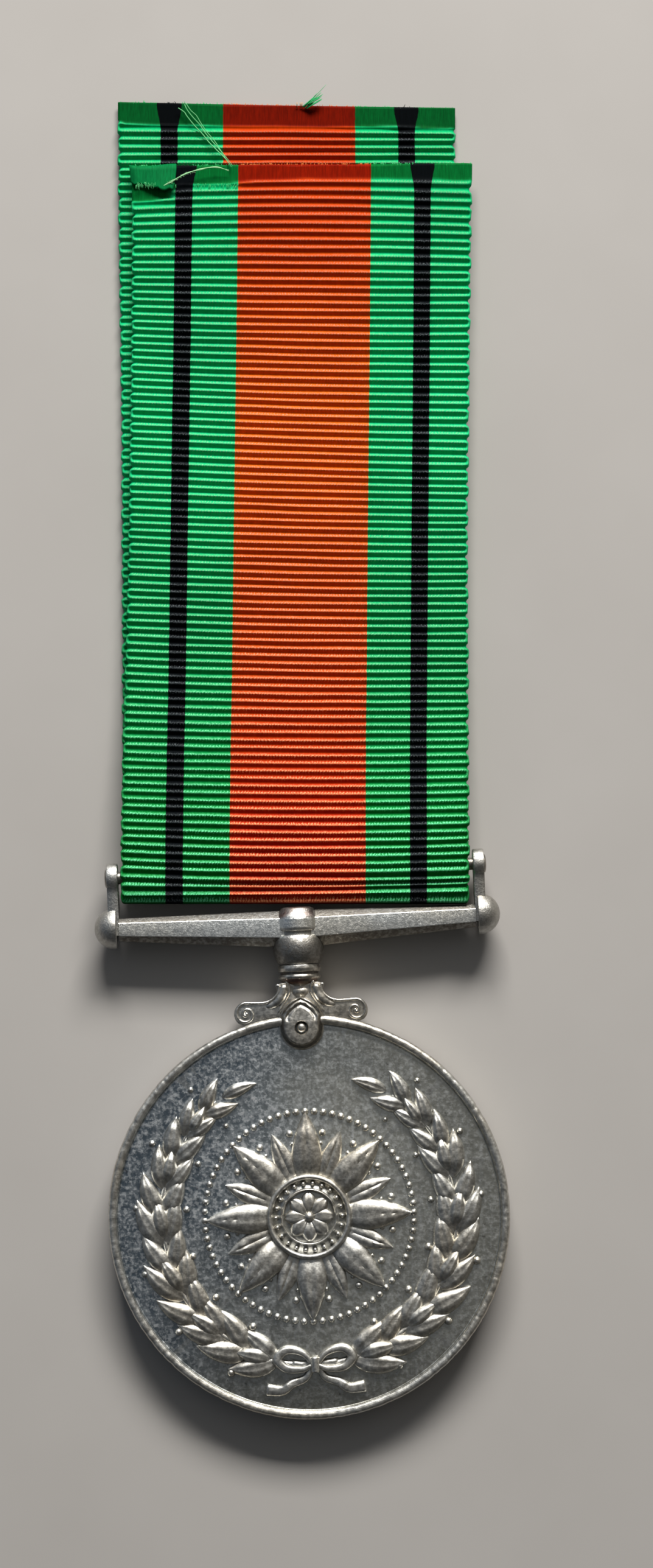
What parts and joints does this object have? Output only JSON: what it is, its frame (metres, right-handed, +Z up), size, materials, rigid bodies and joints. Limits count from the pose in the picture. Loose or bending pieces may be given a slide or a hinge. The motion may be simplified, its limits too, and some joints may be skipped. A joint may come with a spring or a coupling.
{
  "type": "round medal on a ribbon",
  "caption": "Round struck medal with a raised wreath-and-star relief, scroll claw and straight suspender bar, hung on a ribbed striped ribbon folded once over its rod.",
  "frame": {"origin": "centre of the bounding box, on the surface that the medal lies on", "axes": "+Y along the ribbon towards its cut ends, +Z up out of the medal's face, +X to the right"},
  "size_m": [0.0374, 0.1204, 0.0046],
  "materials": {
    "disc_metal": "struck cupro-nickel with dulled field and bright worn edges",
    "fitting_metal": "cast cupro-nickel, fine grained, dark in the corners",
    "ribbon_cloth": "ribbed silky ribbon, green with a broad orange centre and two narrow black stripes"
  },
  "bodies": {
    "root": {"medal_disc": "disc_metal", "scroll_claw": "fitting_metal", "claw_pin": "fitting_metal", "suspender_bar": "fitting_metal", "ribbon_rod": "fitting_metal", "ribbon": "ribbon_cloth"}
  },
  "joints": []
}
